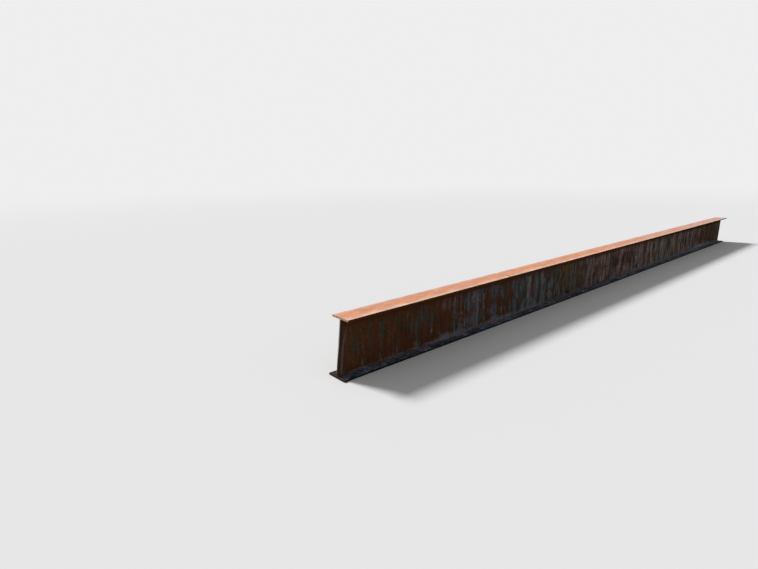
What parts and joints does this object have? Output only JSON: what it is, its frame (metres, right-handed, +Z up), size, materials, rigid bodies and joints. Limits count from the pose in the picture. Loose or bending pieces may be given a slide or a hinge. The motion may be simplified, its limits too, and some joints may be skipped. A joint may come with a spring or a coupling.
{
  "type": "steel girder",
  "caption": "Long hot-rolled wide-flange steel beam with a deep web between equal flanges, one end cut square and the other slightly off square, to carry load in bending.",
  "frame": {"origin": "middle of the underside of the bottom flange", "axes": "+X along the beam, +Y across the flanges, +Z up along the web"},
  "size_m": [9.144, 0.19, 0.457],
  "materials": {
    "weathered_steel": "rusted and dusty over worn red-oxide primer, matte"
  },
  "bodies": {
    "root": {"girder": "weathered_steel"}
  },
  "joints": []
}
